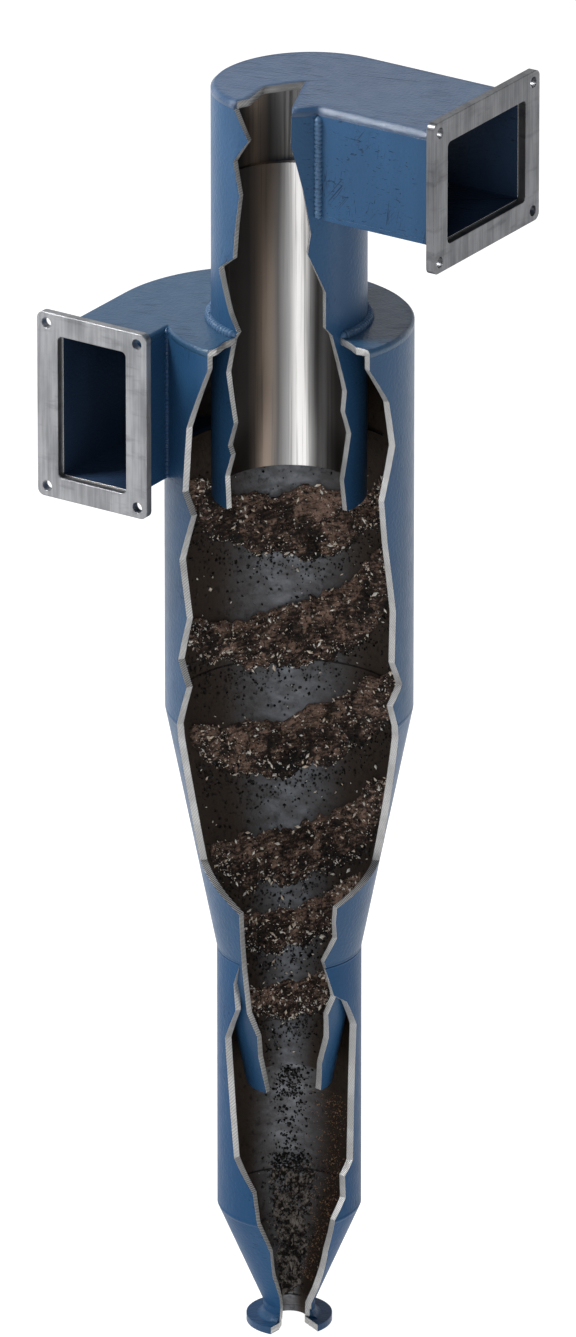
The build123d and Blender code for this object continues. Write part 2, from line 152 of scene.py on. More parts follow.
def axis_of(tree: Any, value: Any, axis: str = "Z") -> Any:
    """One coordinate of a vector."""
    return add(tree, "ShaderNodeSeparateXYZ", None, {0: value}, axis)


@dataclass(frozen=True)
class Coat:
    """One layer of a finish: sockets or values, with the height in millimetres."""

    colour: Any
    rough: Any
    metal: Any
    height: Any


@dataclass(frozen=True)
class Places:
    """The coordinate sockets that the finishes share.

    Attributes:
        tree: the node tree.
        at: object coordinates in millimetres.
        normal: the surface's direction.
        outward: share of the normal that points away from the axis.
        angle: angle about the axis from the facing, in radians.
        behind: the same from the back of the cutaway, growing to the left as the facing sees it.
        radius: distance from the axis in millimetres.
    """

    tree: Any
    at: Any
    normal: Any
    outward: Any
    angle: Any
    behind: Any
    radius: Any


def places(tree: Any) -> Places:
    """Lay down the shared coordinates of a material.

    Args:
        tree: the node tree.

    Returns:
        The sockets.
    """
    spot = add(tree, "ShaderNodeTexCoord", out="Object")
    normal = spot.node.outputs["Normal"]
    at = vector_node(tree, "SCALE", spot, 1 / MM)
    flat = vector_node(tree, "MULTIPLY", at, (1, 1, 0))
    unit = vector_node(tree, "NORMALIZE", flat)
    outward = vector_node(tree, "DOT_PRODUCT", unit, normal)
    ahead = vector_node(tree, "DOT_PRODUCT", unit, (math.cos(FACING), math.sin(FACING), 0))
    aside = vector_node(tree, "DOT_PRODUCT", unit, (-math.sin(FACING), math.cos(FACING), 0))
    angle = math_node(tree, "ARCTAN2", aside, ahead)
    back = [math_node(tree, "MULTIPLY", v, -1.0) for v in (aside, ahead)]
    behind = math_node(tree, "ARCTAN2", back[0], back[1])
    radius = vector_node(tree, "LENGTH", flat)
    return Places(tree, at, normal, outward, angle, behind, radius)


def step(tree: Any, value: Any, low: float, high: float) -> Any:
    """Smooth step of a value from 0 at low to 1 at high.

    Args:
        tree: the node tree.
        value: the socket.
        low: where the step starts.
        high: where it ends.

    Returns:
        The stepped socket.
    """
    settings = {"interpolation_type": "SMOOTHSTEP"}
    feeds = {"Value": value, "From Min": low, "From Max": high}
    if low > high:
        feeds = {"Value": value, "From Min": high, "From Max": low, "To Min": 1.0, "To Max": 0.0}
    return add(tree, "ShaderNodeMapRange", settings, feeds)


def blend(tree: Any, share: Any, first: Any, second: Any) -> Any:
    """Mix two numbers or two colours.

    Args:
        tree: the node tree.
        share: how much of the second shows.
        first: the first socket or value.
        second: the second.

    Returns:
        The mixed socket.
    """
    def coloured(value: Any) -> bool:
        """Whether a socket or value is a colour."""
        return isinstance(value, tuple) or getattr(value, "type", "") == "RGBA"

    if coloured(first) or coloured(second):
        return add(tree, "ShaderNodeMix", {"data_type": "RGBA"}, {0: share, 6: first, 7: second}, 2)
    return add(tree, "ShaderNodeMix", {"data_type": "FLOAT"}, {0: share, 2: first, 3: second})


def over(tree: Any, lower: Coat, upper: Coat, share: Any) -> Coat:
    """Lay one coat over another where share is 1.

    Args:
        tree: the node tree.
        lower: the coat below.
        upper: the coat on top.
        share: the upper coat's cover.

    Returns:
        The joined coat.
    """
    pairs = ((getattr(lower, f), getattr(upper, f)) for f in ("colour", "rough", "metal", "height"))
    return Coat(*(blend(tree, share, low, high) for low, high in pairs))


def noise(place: Places, size: float, detail: float = 2.0, stretch: Sequence[float] = (1, 1, 1)) -> Any:
    """Soft noise of a real size.

    Args:
        place: the shared coordinates.
        size: the pattern's size in millimetres.
        detail: octaves of finer noise.
        stretch: how many times longer the pattern is along each axis.

    Returns:
        The noise socket, about 0.5 on average.
    """
    vector = vector_node(place.tree, "DIVIDE", place.at, tuple(size * s for s in stretch))
    feeds = {"Vector": vector, "Scale": 1.0, "Detail": detail, "Roughness": 0.55}
    return add(place.tree, "ShaderNodeTexNoise", None, feeds)


def scratches(place: Places, size: float, way: Sequence[float], cover: float) -> Any:
    """Long thin marks that run one way, gathered in patches, on the faces that hold that way.

    Args:
        place: the shared coordinates.
        size: a mark's width in millimetres.
        way: unit vector that the marks run along.
        cover: noise level above which a patch of marks shows.

    Returns:
        The marks' cover, from 0 to 1.
    """
    tree = place.tree
    along = vector_node(tree, "DOT_PRODUCT", place.at, tuple(way))
    # The pattern is squashed along the marks, which draws them out
    squash = 0.982
    shift = math_node(tree, "MULTIPLY", along, -squash)
    squashed = vector_node(tree, "SCALE", tuple(way), shift)
    squashed = vector_node(tree, "ADD", place.at, squashed)
    squashed = vector_node(tree, "SCALE", squashed, 1 / size)
    feeds = {"Vector": squashed, "Scale": 1.0, "Detail": 1.0, "Distortion": 1.3}
    marks = step(tree, add(tree, "ShaderNodeTexNoise", None, feeds), 0.65, 0.70)
    tilt = vector_node(tree, "DOT_PRODUCT", place.normal, tuple(way))
    flat = step(tree, math_node(tree, "ABSOLUTE", tilt), 0.4, 0.25)
    patch = step(tree, noise(place, 85.0, 1.0), cover, cover + 0.05)
    marks = math_node(tree, "MULTIPLY", marks, flat)
    return math_node(tree, "MULTIPLY", marks, patch)


def line_round(place: Places, level: float, edge: float, core: float) -> Any:
    """A line round the walls at one level.

    Args:
        place: the shared coordinates.
        level: its height in millimetres.
        edge: distance from the level beyond which nothing shows.
        core: distance within which it shows in full.

    Returns:
        The line's cover, from 0 to 1.
    """
    away = math_node(place.tree, "SUBTRACT", axis_of(place.tree, place.at), level)
    return step(place.tree, math_node(place.tree, "ABSOLUTE", away), edge, core)


@dataclass(frozen=True)
class SatinPaint:
    """Sprayed satin alkyd enamel on steel: deep blue, faint orange peel, soft sheen, dark scuffs.

    Attributes:
        scuffs: the ways that scuffs run, each with the noise level above which they show.
        seams: levels of the welds under the paint, in millimetres.
    """

    base: str = "#234566"
    faded: str = "#294e71"
    scuff: str = "#111f31"
    rough: float = 0.37
    peel_mm: float = 5.5
    scuff_mm: float = 3.2
    scuffs: tuple = (
        ((0.62, 0.0, 0.785), 0.64), ((0.80, 0.60, 0.0), 0.43),
        ((0.97, 0.24, 0.0), 0.45), ((0.16, 0.10, 0.982), 0.58),
    )
    seams: tuple[float, ...] = ()

    def coat(self, place: Places) -> Coat:
        """Build the paint's coat.

        Args:
            place: the shared coordinates.

        Returns:
            The coat.
        """
        tree = place.tree
        broad = noise(place, 160.0, 3.0, (1, 1, 2.5))
        colour = blend(tree, step(tree, broad, 0.35, 0.72), linear(self.base), linear(self.faded))
        marks = [scratches(place, self.scuff_mm, way, cover) for way, cover in self.scuffs]
        worn = marks[0]
        for more in marks[1:]:
            worn = math_node(tree, "MAXIMUM", worn, more)
        smudge = step(tree, noise(place, 30.0, 4.0), 0.64, 0.80)
        worn = math_node(tree, "MULTIPLY_ADD", smudge, 0.2, worn, clamp=True)
        faint = math_node(tree, "MULTIPLY", worn, 0.75)
        colour = blend(tree, faint, colour, linear(self.scuff))
        # Orange peel is about 1.5 mm on real paint, drawn coarser so that it shows
        peel = noise(place, self.peel_mm, 1.0)
        height = math_node(tree, "MULTIPLY", peel, 0.75)
        uneven = step(tree, noise(place, 24.0, 3.0), 0.3, 0.7)
        rough = blend(tree, uneven, self.rough - 0.02, self.rough + 0.03)
        rough = blend(tree, worn, rough, 0.55)
        for seam in self.seams:
            ridge = math_node(tree, "MULTIPLY", line_round(place, seam, 5.0, 1.5), 0.9)
            height = math_node(tree, "ADD", height, ridge)
        return Coat(colour, rough, 0.0, height)


@dataclass(frozen=True)
class DustySteel:
    """Hot-rolled steel plate filmed with brown dust: dark and dull, with a painted grey sheen about the
    middle of the back, broken into worn patches.
    """

    # The lighter grey that the painted sheen takes
    bare: str = "#858a91"
    filmed: str = "#3f362f"
    soot: str = "#0d0b0a"
    joints: tuple[float, ...] = ()

    def coat(self, place: Places) -> Coat:
        """Build the inner wall's coat.

        Args:
            place: the shared coordinates.

        Returns:
            The coat.
        """
        tree = place.tree
        # Painted sheen: about the middle of the wall's back the colour turns to a lighter, more metallic
        # grey steel, broken into patches by noise that stand for worn spots
        aside = math_node(tree, "ABSOLUTE", place.behind)
        back_sheen_band = step(tree, aside, 0.75, 0.05)
        patch = step(tree, noise(place, 30.0, 7.0, (1, 1, 0.5)), 0.25, 0.80)
        patch = math_node(tree, "MULTIPLY_ADD", patch, 0.55, 0.35)
        worn_and_sheen = math_node(tree, "MULTIPLY", back_sheen_band, patch)
        colour = blend(tree, worn_and_sheen, linear(self.filmed), linear(self.bare))
        soot = step(tree, noise(place, 11.0, 8.0), 0.52, 0.74)
        soot = math_node(tree, "MULTIPLY", soot, 0.55)
        colour = blend(tree, soot, colour, linear(self.soot))
        metal = blend(tree, worn_and_sheen, 0.1, 0.8)
        rough = blend(tree, worn_and_sheen, 0.70, 0.42)
        height = math_node(tree, "MULTIPLY", noise(place, 7.0, 5.0), 1.3)
        for joint in self.joints:
            line = math_node(tree, "MULTIPLY", line_round(place, joint, 2.4, 0.8), 0.8)
            colour = blend(tree, line, colour, linear(self.soot))
        return Coat(colour, rough, metal, height)


@dataclass(frozen=True)
class BrushedBoreWithReflections:
    """Stainless tube bore polished along its length, with painted reflections: dark, mid, bright and bronze
    bands laid round it by angle.
    """

    bright: str = "#f6f4f2"
    mid: str = "#a09f9f"
    dark: str = "#646261"
    bronze_reflection: str = "#b3a091"
    # Turns the painted reflection bands round the axis
    ahead: float = 0.0

    def coat(self, place: Places) -> Coat:
        """Build the bore's coat.

        Args:
            place: the shared coordinates.

        Returns:
            The coat.
        """
        tree = place.tree
        # Polishing streaks are hairlines, drawn a few millimetres wide so that they show
        streak = noise(place, 5.0, 3.0, (1, 1, 70))
        # Painted reflection: the colour runs through dark, mid, bright and bronze bands by the angle round
        # the axis, wandering a little with noise
        drift = noise(place, 60.0, 1.0, (1, 1, 6))
        wander = math_node(tree, "MULTIPLY_ADD", drift, 0.16, self.ahead - 0.08)
        turn = math_node(tree, "ADD", place.behind, wander)
        reach = math.radians(80)
        share = add(tree, "ShaderNodeMapRange", None, {"Value": turn, "From Min": -reach, "From Max": reach})
        bands = (
            (0.10, self.dark), (0.25, self.dark), (0.325, self.mid), (0.36, self.dark), (0.40, self.mid),
            (0.43, self.bright), (0.47, self.bright), (0.51, self.mid), (0.56, self.dark),
            (0.63, self.bronze_reflection), (0.71, self.dark),
        )
        stops = [(spot, linear(colour)) for spot, colour in bands]
        colour = add(tree, "ShaderNodeValToRGB", {"stops": stops}, {0: share}, "Color")
        shade = math_node(tree, "MULTIPLY", step(tree, streak, 0.5, 0.3), 0.55)
        colour = blend(tree, shade, colour, linear(self.dark))
        rings = noise(place, 2.5, 2.0, (14, 14, 1))
        height = math_node(tree, "MULTIPLY", rings, 0.08)
        return Coat(colour, blend(tree, streak, 0.24, 0.40), 1.0, height)


@dataclass(frozen=True)
class GroundEdge:
    """Torch-cut steel edge dressed with a grinder: bright, with fine slanting grooves across it."""

    bright: str = "#f0f0f0"
    groove: str = "#686766"
    pitch_mm: float = 2.4

    def coat(self, place: Places) -> Coat:
        """Build the broken edge's coat.

        Args:
            place: the shared coordinates.

        Returns:
            The coat.
        """
        tree = place.tree
        # Grinding grooves are under 1 mm apart, drawn 2.4 mm apart so that they show
        slant = vector_node(tree, "DOT_PRODUCT", place.at, (0.45, 0.45, 1.0))
        phase = math_node(tree, "MULTIPLY", slant, 2 * math.pi / self.pitch_mm)
        jitter = math_node(tree, "MULTIPLY_ADD", noise(place, 14.0, 2.0), 3.5, phase)
        wave = math_node(tree, "SINE", jitter)
        lines = step(tree, wave, -0.7, 0.9)
        colour = blend(tree, lines, linear(self.groove), linear(self.bright))
        patch = step(tree, noise(place, 45.0, 4.0), 0.40, 0.62)
        colour = blend(tree, math_node(tree, "MULTIPLY", patch, 0.25), colour, linear(self.groove))
        height = math_node(tree, "MULTIPLY", lines, 0.14)
        return Coat(colour, 0.40, 0.72, height)


@dataclass(frozen=True)
class BrushedPlate:
    """Bare flange plate, milled and wiped: grey steel with broad soft stains and fine brushing."""

    bright: str = "#a3a4a7"
    stain: str = "#808184"
    smudge: str = "#5f6063"

    def coat(self, place: Places) -> Coat:
        """Build the flange's coat.

        Args:
            place: the shared coordinates.

        Returns:
            The coat.
        """
        tree = place.tree
        fine = blend(tree, 0.6, noise(place, 4.0, 4.0, (1, 1, 30)), noise(place, 34.0, 3.0, (1, 1, 3)))
        colour = blend(tree, step(tree, fine, 0.35, 0.65), linear(self.stain), linear(self.bright))
        wiped = step(tree, noise(place, 15.0, 4.0, (4, 4, 1)), 0.52, 0.78)
        colour = blend(tree, math_node(tree, "MULTIPLY", wiped, 0.6), colour, linear(self.smudge))
        hair = noise(place, 2.2, 2.0, (14, 14, 1))
        height = math_node(tree, "MULTIPLY", hair, 0.08)
        return Coat(colour, 0.38, 0.9, height)


@dataclass(frozen=True)
class CakedDust:
    """Settled process dust, caked in lumps that the gas has combed: matt brown, near black to light brown by
    noise, with painted light that makes faces looking up lighter.
    """

    low: str = "#0c0806"
    mid: str = "#3d2f26"
    high: str = "#9c8070"
    combed: float = 0.5
    clod_mm: float = 24.0

    def coat(self, place: Places) -> Coat:
        """Build the dust's coat.

        Args:
            place: the shared coordinates.

        Returns:
            The coat.
        """
        tree = place.tree
        clods = noise(place, self.clod_mm, 7.0)
        arc = math_node(tree, "MULTIPLY", place.behind, 160.0)
        level = axis_of(tree, place.at)
        climb = math_node(tree, "MULTIPLY_ADD", arc, 0.2, level)
        combed = add(tree, "ShaderNodeCombineXYZ", None, {"X": arc, "Y": climb, "Z": place.radius})
        combed = vector_node(tree, "DIVIDE", combed, (30.0, 4.5, 4.5))
        feeds = {"Vector": combed, "Scale": 1.0, "Detail": 4.0, "Roughness": 0.6}
        fibres = add(tree, "ShaderNodeTexNoise", None, feeds)
        mixed = blend(tree, self.combed, clods, fibres)
        masses = noise(place, 75.0, 1.0)
        mixed = math_node(tree, "MULTIPLY_ADD", masses, 0.30, mixed)
        mixed = math_node(tree, "SUBTRACT", mixed, 0.15)
        # Painted light: faces that look up are lighter, faces that look down darker
        upward = axis_of(tree, place.normal)
        mixed = math_node(tree, "MULTIPLY_ADD", upward, 0.09, mixed)
        stops = [(0.39, linear(self.low)), (0.50, linear(self.mid)), (0.62, linear(self.high))]
        colour = add(tree, "ShaderNodeValToRGB", {"stops": stops}, {0: mixed}, "Color")
        crumbs = noise(place, 4.0, 4.0)
        colour = blend(tree, step(tree, crumbs, 0.56, 0.66), colour, linear(self.low))
        height = math_node(tree, "MULTIPLY", crumbs, 3.0)
        height = math_node(tree, "MULTIPLY_ADD", fibres, 10.0 * self.combed, height)
        return Coat(colour, 0.95, 0.0, height)


@dataclass(frozen=True)
class Grain:
    """Loose grit of one colour, slightly uneven from grain to grain."""

    pale: str = "#fffbf2"
    deep: str = "#f0dcc6"

    def coat(self, place: Places) -> Coat:
        """Build the grain's coat.

        Args:
            place: the shared coordinates.

        Returns:
            The coat.
        """
        tree = place.tree
        uneven = step(tree, noise(place, 12.0, 1.0), 0.4, 0.6)
        colour = blend(tree, uneven, linear(self.deep), linear(self.pale))
        return Coat(colour, 0.45, 0.0, 0.0)


def covers(place: Places, side: Side) -> tuple[Any, Any]:
    """Where the inner finish and the bare steel show.

    Args:
        place: the shared coordinates.
        side: the rule of the node.

    Returns:
        The cover of the inner finish and of the bare steel.
    """
    tree = place.tree

    def product(first: Any, second: Any) -> Any:
        """Multiply two covers."""
        return math_node(tree, "MULTIPLY", first, second)

    def size(value: Any) -> Any:
        """A value without its sign."""
        return math_node(tree, "ABSOLUTE", value)

    upward = axis_of(tree, place.normal)
    if side is Side.ROUND_WALL:
        flat = step(tree, upward, 0.93, 0.97)
        rims = product(flat, step(tree, place.radius, 191.5, 189.5))
        ledge = product(flat, step(tree, place.radius, 189.5, 191.5))
        lower = math_node(tree, "MAXIMUM", ledge, step(tree, upward, -0.93, -0.97))
        inner = math_node(tree, "MAXIMUM", step(tree, place.outward, -0.35, -0.6), rims)
        outer = math_node(tree, "MAXIMUM", step(tree, place.outward, 0.35, 0.6), lower)
        both = math_node(tree, "ADD", inner, outer)
        return inner, math_node(tree, "SUBTRACT", 1.0, both, clamp=True)
    if side in (Side.INLET_DUCT, Side.OUTLET_DUCT, Side.INLET_FLOOR, Side.OUTLET_FLOOR):
        inlet = side in (Side.INLET_DUCT, Side.INLET_FLOOR)
        centre, across = ((-208.5, 0.0, 1625.5), (1, 0, 1)) if inlet else ((0.0, 48.0, 2059.0), (0, 1, 1))
        away = vector_node(tree, "SUBTRACT", place.at, centre)
        away = vector_node(tree, "MULTIPLY", away, across)
        facing = vector_node(tree, "DOT_PRODUCT", away, place.normal)
        axis = "Y" if inlet else "X"
        along = axis_of(tree, place.at, axis)
        end = step(tree, along, -236.0, -239.0) if inlet else step(tree, along, 323.0, 326.0)
        turned = step(tree, size(axis_of(tree, place.normal, axis)), 0.6, 0.8)
        if side in (Side.INLET_FLOOR, Side.OUTLET_FLOOR):
            return step(tree, upward, 0.4, 0.6), product(end, turned)
        return step(tree, facing, -3.0, -8.0), product(end, turned)
    upright = step(tree, size(upward), 0.6, 0.4)
    under = step(tree, upward, -0.4, -0.6)
    if side is Side.OUTLET_ROOF:
        return under, product(upright, step(tree, place.radius, 121.0, 118.0))
    near = step(tree, size(place.angle), math.radians(64), math.radians(61))
    rim = step(tree, size(place.outward), 0.85, 0.6)
    bare = product(product(upright, near), rim)
    return (step(tree, place.outward, -0.6, -0.85) if side is Side.FOOT else under), bare


def finish_material(
    name: str,
    outer: Any,
    side: Side = Side.PLAIN,
    inner: Any = None,
    edge_mm: float = 0.0,
    shine: float = 0.2,
) -> Any:
    """Build a material from its finishes.

    Args:
        name: the material's name.
        outer: the finish on the outside.
        side: how the faces are told apart.
        inner: the finish on the inside.
        edge_mm: how far sharp edges are eased in the shading.
        shine: how strongly satin paint mirrors, where 0.5 is plain enamel.

    Returns:
        The material.
    """
    made = bpy.data.materials.new(name)
    made.use_nodes = True
    tree = made.node_tree
    tree.nodes.clear()
    place = places(tree)
    coat = outer.coat(place)
    if side is not Side.PLAIN:
        inside, edge = covers(place, side)
        if inner is not None:
            coat = over(tree, coat, inner.coat(place), inside)
        coat = over(tree, coat, GroundEdge().coat(place), edge)
    bump = {"Height": coat.height, "Distance": MM, "Strength": 1.0}
    if edge_mm:
        bump["Normal"] = add(tree, "ShaderNodeBevel", {"samples": 4}, {"Radius": edge_mm * MM})
    normal = add(tree, "ShaderNodeBump", None, bump)
    feeds = {"Base Color": coat.colour, "Roughness": coat.rough, "Metallic": coat.metal, "Normal": normal}
    surface = add(tree, "ShaderNodeBsdfPrincipled", None, feeds)
    # Matting agent takes some of the enamel's shine
    surface.node.inputs["Specular IOR Level"].default_value = shine if isinstance(outer, SatinPaint) else 0.5
    add(tree, "ShaderNodeOutputMaterial", None, {"Surface": surface})
    return made


def dress(nodes: Sequence[str], material: Any) -> None:
    """Put a material on CAD nodes.

    Args:
        nodes: the nodes' names.
        material: the material.
    """
    for name in nodes:
        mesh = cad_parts[name].data
        mesh.materials.clear()
        mesh.materials.append(material)
        log.info("%s is finished in %s", name, material.name)


def around(radius: Any, angle: Any, level: Any) -> np.ndarray:
    """Points about the axis: x is the radius times the angle's cosine, y the radius times its sine."""
    return np.stack(np.broadcast_arrays(radius * np.cos(angle), radius * np.sin(angle), level), -1)


def waves(points: np.ndarray, size: float, seed: int, octaves: int = 4) -> np.ndarray:
    """Smooth seeded noise: each octave sums 14 cosines with random directions and phases.

    Args:
        points: an array whose last axis is x, y, z in metres.
        size: the coarsest lump's size in metres.
        seed: the random seed.
        octaves: how many times the size is halved.

    Returns:
        Noise of about -1 to 1 at each point.
    """
    draw = np.random.default_rng(seed)
    total = np.zeros(points.shape[:-1])
    count = 14
    for octave in range(octaves):
        ways = draw.normal(size=(count, 3))
        ways *= (2 * np.pi * 2**octave / size) / np.linalg.norm(ways, axis=1, keepdims=True)
        ways *= draw.uniform(0.6, 1.4, (count, 1))
        phase = draw.uniform(0, 2 * np.pi, count)
        total += np.cos(points @ ways.T + phase).sum(-1) / count**0.5 / 2 ** (0.75 * octave)
    return total / 1.6


def grid_piece(name: str, points: np.ndarray, material: Any) -> Any:
    """Make a closed piece from a grid of points, in rings along the first axis with a point at each end.

    Args:
        name: the piece's name.
        points: an array of rings by points by 3, each ring closed on itself.
        material: the material.

    Returns:
        The piece, riding on the frame's one body.
    """
    rings, across = points.shape[:2]
    ids = np.arange(rings * across).reshape(rings, across)
    after = np.roll(ids, -1, axis=1)
    faces = np.stack([ids[:-1], after[:-1], after[1:], ids[1:]], -1).reshape(-1, 4).tolist()
    ends = np.stack([points[0].mean(0), points[-1].mean(0)])
    first, last = rings * across, rings * across + 1
    faces += np.stack([np.full(across, first), after[0], ids[0]], -1).tolist()
    faces += np.stack([np.full(across, last), ids[-1], after[-1]], -1).tolist()
    return mesh_piece(name, np.concatenate([points.reshape(-1, 3), ends]), faces, material)


def mesh_piece(name: str, corners: np.ndarray, faces: list, material: Any, smooth: bool = True) -> Any:
    """Make a piece from corners and faces.

    Args:
        name: the piece's name.
        corners: the points, in metres.
        faces: lists of corner numbers.
        material: the material.
        smooth: whether the shading is smooth.

    Returns:
        The piece, riding on the frame's one body.
    """
    mesh = bpy.data.meshes.new(name)
    mesh.from_pydata(corners.tolist(), [], faces)
    mesh.polygons.foreach_set("use_smooth", np.full(len(mesh.polygons), smooth))
    mesh.materials.append(material)
    mesh.update()
    piece = bpy.data.objects.new(name, mesh)
    bpy.context.scene.collection.objects.link(piece)
    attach(piece, "root")
    log.info("%s has %d faces", name, len(mesh.polygons))
    return piece


@dataclass
class Shell:
    """The cyclone's own walls, plates and flanges, which only take their finishes.

    Attributes:
        seams: levels of the circumferential welds, in millimetres.
    """

    seams: tuple[float, ...] = tuple(level / MM for level in (BODY_FOOT, CONE_FOOT, BIN_FOOT))

    def names(self, start: str) -> list[str]:
        """Names of the CAD nodes that begin in a certain way."""
        return [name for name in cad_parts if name.startswith(start)]

    def build(self) -> None:
        """Dress every CAD node."""
        plain = SatinPaint()
        paint = SatinPaint(seams=self.seams)
        # Painted shade: the hopper takes a darker, bluer copy of the paint, with less shine
        low = SatinPaint("#1f456a", "#264d72", rough=0.42, seams=self.seams)
        # Painted sheen: the body roof takes a greyer copy of the paint
        top = SatinPaint("#254764", "#2b4e6b")
        # Painted shade: the outlet roof takes a darker copy of the paint, which offsets its stronger shine
        darker_cap_paint = SatinPaint("#214265", "#27496b", rough=0.33)
        foot = SatinPaint("#1d3d60", "#234669")
        # Painted shade: a darker copy of the paint for the ducts' insides
        shade = SatinPaint("#1c2b40", "#26374e", "#0b121c")
        dusty = DustySteel(joints=(1088.0, 222.0))
        # Painted sheen: the hopper's wall takes a lighter grey in its sheen band
        hopper_sheen_steel = DustySteel("#a4a8ae", joints=(222.0,))
        # Painted shade: the outlet flange takes a darker copy of the brushed plate
        shaded_flange_steel = BrushedPlate("#7b7c7f", "#5b5c5f", "#434447")
        # The painted reflection bands, turned a little for the scroll wall
        scroll_bore = BrushedBoreWithReflections(ahead=-0.1)
        walls = [name for start in ("body_shell", "main_cone", "inlet_scroll") for name in self.names(start)]
        bins, tubes = self.names("dust_hopper"), self.names("vortex_tube")
        inlet, outlet = ([f"{duct}_near_wall", f"{duct}_far_wall"] for duct in ("inlet", "outlet"))
        # Nodes, then the name, outside, side rule, inside, edge easing and shine of their material
        for nodes, *finish in (
            (walls, "satin_blue_over_dusty_steel", paint, Side.ROUND_WALL, dusty, 1.6),
            (bins, "shaded_blue_over_hopper_sheen_steel", low, Side.ROUND_WALL, hopper_sheen_steel, 1.6, 0.1),
            (tubes, "satin_blue_over_brushed_bore", plain, Side.ROUND_WALL, BrushedBoreWithReflections(), 1.6),
            (["outlet_scroll_wall"], "satin_blue_over_scroll_bore", plain, Side.ROUND_WALL, scroll_bore),
            (inlet, "satin_blue_inlet_duct", plain, Side.INLET_DUCT, shade, 2.0),
            (outlet, "satin_blue_outlet_duct", plain, Side.OUTLET_DUCT, shade, 2.0),
            (["inlet_floor"], "satin_blue_inlet_floor", plain, Side.INLET_FLOOR, shade, 2.0),
            (["outlet_floor"], "satin_blue_outlet_floor", plain, Side.OUTLET_FLOOR, shade, 2.0),
            (["inlet_flange"], "brushed_steel_inlet_flange", BrushedPlate(), Side.PLAIN, None, 3.2),
            (["outlet_flange"], "brushed_steel_outlet_flange", shaded_flange_steel, Side.PLAIN, None, 2.2),
            (["body_roof"], "sheen_greyed_blue_body_roof", top, Side.BODY_ROOF, dusty, 7.0, 0.5),
            (["outlet_roof"], "shaded_blue_outlet_roof", darker_cap_paint, Side.OUTLET_ROOF, dusty, 17.0, 0.8),
            (["foot_flange"], "satin_blue_foot", foot, Side.FOOT, dusty, 3.0),
        ):
            dress(nodes, finish_material(*finish))


@dataclass
class WeldRuns:
    """Rippled weld beads in the corners, standing for the plain CAD beads.

    Attributes:
        pitch: distance between two ripples.
        around: points around a bead's section.
        along: points along a bead from one ripple to the next.
    """

    pitch: float = 0.0075
    around: int = 14
    along: int = 7

    def bead(self, name: str, path: Path, length: float, size: float, material: Any) -> None:
        """Carry a round section along a path, swelling once every pitch.

        The section's radius is size times 1 plus a rippled share, and shrinks to nothing at both ends.

        Args:
            name: the piece's name.
            path: gives the centre line's points for shares of the length.
            length: the path's length.
            size: the bead's radius.
            material: the material.
        """
        count = int(length / self.pitch * self.along)
        share = np.linspace(0, 1, count)
        centre = path(share)
        ahead = np.gradient(centre, axis=0)
        ahead /= np.linalg.norm(ahead, axis=1, keepdims=True)
        lift = np.where(np.abs(ahead[:, 2:]) > 0.9, [[1.0, 0.0, 0.0]], [[0.0, 0.0, 1.0]])
        side = np.cross(ahead, lift)
        side /= np.linalg.norm(side, axis=1, keepdims=True)
        upward = np.cross(side, ahead)
        turn = 2 * np.pi * np.arange(self.around) / self.around
        saw = (share * length / self.pitch) % 1.0
        ripple = 0.64 + 0.48 * np.sqrt(np.clip(1 - (2 * saw - 1) ** 2, 0, 1))
        drift = 1 + 0.07 * waves(centre, 0.03, 5, 2)
        ends = np.clip(np.minimum(share, 1 - share) * length / size, 0.02, 1) ** 0.5
        radius = size * ripple * drift * ends
        ring = np.cos(turn)[:, None] * side[:, None] + np.sin(turn)[:, None] * upward[:, None]
        points = centre[:, None] + radius[:, None, None] * ring
        piece = grid_piece(name, points[:, ::-1], material)
        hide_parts("weld_beads")

    def flare(self, start: float, end: float, material: Any) -> None:
        """Turn a hollow quarter round, from the neck down to the foot plate, about the axis.

        The section is a quarter circle whose centre lies outside it, closed by the corner behind.

        Args:
            start: first angle from the facing, in degrees.
            end: last angle.
            material: the material.
        """
        neck, plate, size, sunk = 0.0415, 0.0115, 0.0145, 0.002
        bend = np.radians(np.linspace(0, 90, 12))
        out = np.concatenate([neck + size - size * np.sin(bend), [neck - sunk, neck - sunk, neck + size]])
        up = np.concatenate([plate + size - size * np.cos(bend), [plate + size, plate - sunk, plate - sunk]])
        angle = np.radians(np.linspace(start, end, 90))[:, None] + FACING
        piece = grid_piece("foot_flare", around(out, angle, up), material)
        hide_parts("weld_beads")

    def build(self) -> None:
        """Make the four runs."""
        # Painted highlight: the collar and outlet welds take a lighter copy of the paint
        paint = finish_material("lit_satin_blue_weld", SatinPaint("#405c7a", "#4b6785", rough=0.3, peel_mm=3.0))

        def ring(radius: float, level: float, start: float, end: float) -> Path:
            """Path round the axis between two angles from the facing, in degrees."""
            first, last = math.radians(start) + FACING, math.radians(end) + FACING

            def path(share: np.ndarray) -> np.ndarray:
                """Points at shares of the arc."""
                return around(radius, first + (last - first) * share, level)

            return path

        def upright(x: float, y: float, low: float, high: float) -> Path:
            """Path up a corner."""
            def path(share: np.ndarray) -> np.ndarray:
                """Points at shares of the height."""
                return np.stack(np.broadcast_arrays(x, y, low + (high - low) * share), -1)

            return path

        self.bead("collar_weld", ring(0.1262, 1.7590, 41, 318), 0.611, 0.0082, paint)
        self.flare(58, 337, finish_material("satin_blue_flare", SatinPaint()))
        shaded = SatinPaint("#1d3b5c", "#254a70", rough=0.3, peel_mm=3.0)
        deep = finish_material("satin_blue_shaded_weld", shaded)
        self.bead("inlet_corner_weld", upright(-0.1358, -0.1472, 1.499, 1.756), 0.257, 0.0062, deep)
        self.bead("outlet_corner_weld", upright(0.1032, -0.0732, 1.968, 2.142), 0.174, 0.0062, paint)


